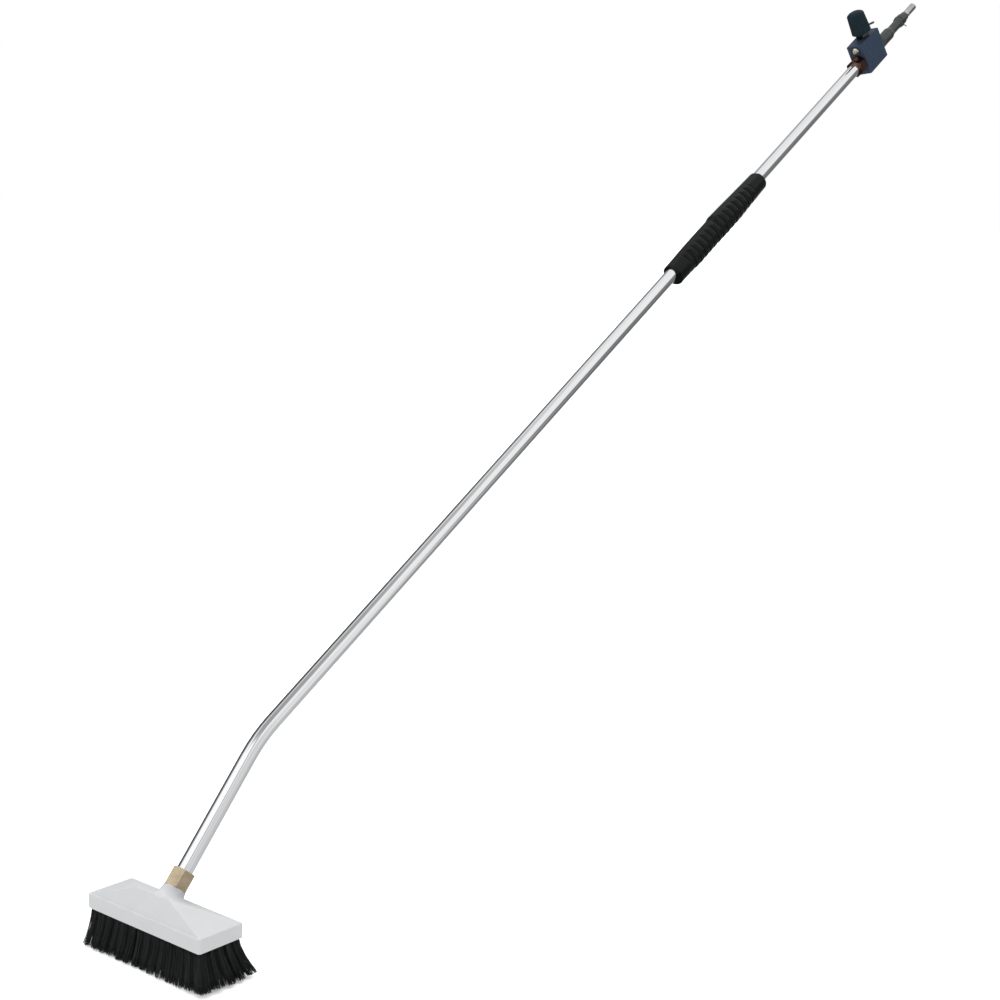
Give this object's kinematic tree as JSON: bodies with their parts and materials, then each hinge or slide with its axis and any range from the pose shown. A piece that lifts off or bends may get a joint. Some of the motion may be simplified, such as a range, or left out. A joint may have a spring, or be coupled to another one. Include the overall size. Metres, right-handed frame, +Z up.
{
  "type": "water-fed washing brush lance",
  "caption": "Water-fed washing lance: a wide soft brush on a bent metal tube, with a ribbed grip, a regulating valve with a knob and a plug-in hose nipple.",
  "frame": {"origin": "middle of the bottom of the bounding box, level with the bristle tips", "axes": "+Z up; the brush stands flat with its long side along X, and the lance rises towards +Y"},
  "size_m": [0.214, 1.7492, 1.2248],
  "materials": {
    "white_plastic": "moulded, slightly glossy",
    "board_plastic": "matte board",
    "black_rubber": "matte rubber",
    "steel": "plain stainless steel",
    "black_bristle": "flagged synthetic bristle",
    "light_brass": "satin turned brass",
    "brown_brass": "bright brass with dark reflections",
    "polished_aluminium": "bright polished",
    "grip_rubber": "satin black rubber",
    "navy_coat": "satin navy coating",
    "nickel": "bright plated",
    "navy_plastic": "satin moulded plastic",
    "dark_coat": "dark satin coating",
    "chrome": "polished plating"
  },
  "bodies": {
    "lance": {"lance_tube": "polished_aluminium", "lower_tube_collar": "polished_aluminium", "upper_tube_collar": "polished_aluminium", "grip": "grip_rubber"},
    "brush_head": {"brush_cover": "white_plastic", "brush_back": "board_plastic", "cover_gasket": "black_rubber", "plate_screws": "steel", "tuft_anchors": "steel", "neck_insert": "light_brass", "lower_union_nut": "light_brass", "lower_union_seal": "black_rubber", "bristle_row_1": "black_bristle", "bristle_row_2": "black_bristle", "bristle_row_3": "black_bristle", "bristle_row_4": "black_bristle", "bristle_row_5": "black_bristle"},
    "valve": {"upper_union_nut": "brown_brass", "upper_union_seal": "black_rubber", "valve_adaptor": "brown_brass", "valve_block": "navy_coat", "port_plug": "nickel", "port_seal": "black_rubber", "valve_seat": "light_brass", "valve_gland": "nickel", "spindle_seal": "black_rubber", "inlet_seal": "black_rubber", "inlet_body": "dark_coat", "nipple_sleeve": "dark_coat", "inlet_nipple": "chrome", "retaining_clip": "steel"},
    "knob_and_spindle": {"knob": "navy_plastic", "knob_pin": "dark_coat", "valve_spindle": "steel"},
    "needle": {"valve_needle": "light_brass"}
  },
  "joints": [
    {"name": "brush_swivel", "type": "hinge", "parent": "lance", "child": "brush_head", "pos_m": [-0.006, -0.80768, 0.09231], "axis": [0, 0.6538, 0.7567], "range_deg": [-90, 90]},
    {"name": "valve_swivel", "type": "hinge", "parent": "lance", "child": "valve", "pos_m": [-0.006, 0.68314, 1.10389], "axis": [0, 0.844, 0.5363], "range_deg": [-180, 180]},
    {"name": "knob_turn", "type": "hinge", "parent": "valve", "child": "knob_and_spindle", "pos_m": [-0.0115, 0.70382, 1.16337], "axis": [-0.1392, -0.531, 0.8358], "range_deg": [0, 720]},
    {"name": "needle_lift", "type": "slide", "parent": "valve", "child": "needle", "axis": [-0.1392, -0.531, 0.8358], "range_m": [0, 0.0036]}
  ],
  "couplings": [
    {"joint": "needle_lift", "follows": "knob_turn", "m_per_rad": 0.00028648}
  ]
}
